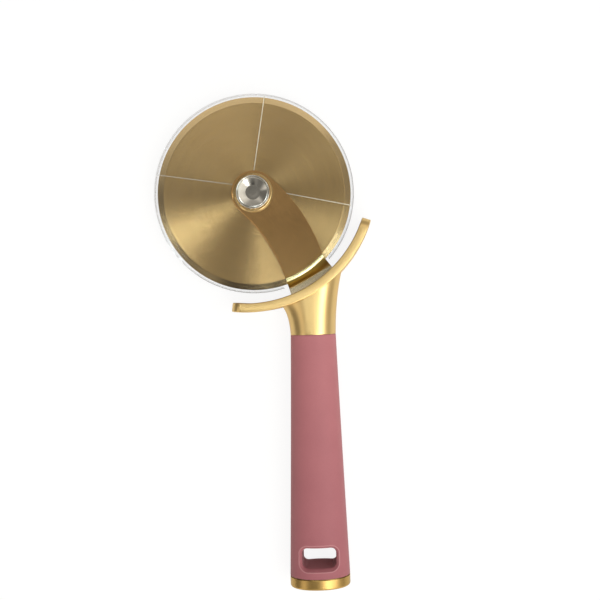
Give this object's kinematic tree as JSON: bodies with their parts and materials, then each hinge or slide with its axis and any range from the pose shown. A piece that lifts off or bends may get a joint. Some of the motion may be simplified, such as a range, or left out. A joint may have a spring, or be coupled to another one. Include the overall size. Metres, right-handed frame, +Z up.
{
  "type": "pizza cutter",
  "caption": "Pizza cutter: bevelled round wheel on one curved side arm, curved finger guard, oval soft-grip handle with a hang slot and end cap, and a clear slide-off wheel cover.",
  "frame": {"origin": "centre of the bounding box at its bottom, on the surface that the cutter lies on with its arm up", "axes": "+Z up, square to the wheel, with the arm on the upper side; +Y along the handle from its end towards the wheel"},
  "size_m": [0.1058, 0.2422, 0.021],
  "materials": {
    "wheel_gold": "satin",
    "arm_bronze": "satin",
    "guard_gold": "satin",
    "polished_steel": "polished",
    "plain_steel": "satin",
    "nylon": "satin",
    "core_plastic": "satin",
    "plug_plastic": "satin",
    "soft_grip": "matte",
    "clear_plastic": "gloss"
  },
  "bodies": {
    "handle": {"axle": "plain_steel", "axle_cap": "polished_steel", "axle_screw": "polished_steel", "front_washer": "nylon", "back_washer": "nylon", "spring_washer": "plain_steel", "arm": "arm_bronze", "tongue_pins": "plain_steel", "guard_casting": "guard_gold", "tang": "plain_steel", "tang_pin": "plain_steel", "core_front": "core_plastic", "core_rear": "core_plastic", "handle_grip": "soft_grip", "end_cap": "guard_gold", "cap_plug": "plug_plastic"},
    "wheel": {"blade": "wheel_gold", "hub_bush": "nylon"},
    "wheel_cover": {"cover_front": "clear_plastic", "cover_rear": "clear_plastic"}
  },
  "joints": [
    {"name": "wheel_spin", "type": "hinge", "parent": "handle", "child": "wheel", "pos_m": [-0.00392, 0.07202, 0.0105], "axis": [0, 0, 1], "continuous": true},
    {"name": "cover_pull", "type": "slide", "parent": "handle", "child": "wheel_cover", "axis": [-0.5255, 0.8508, 0], "range_m": [0, 0.11]}
  ]
}
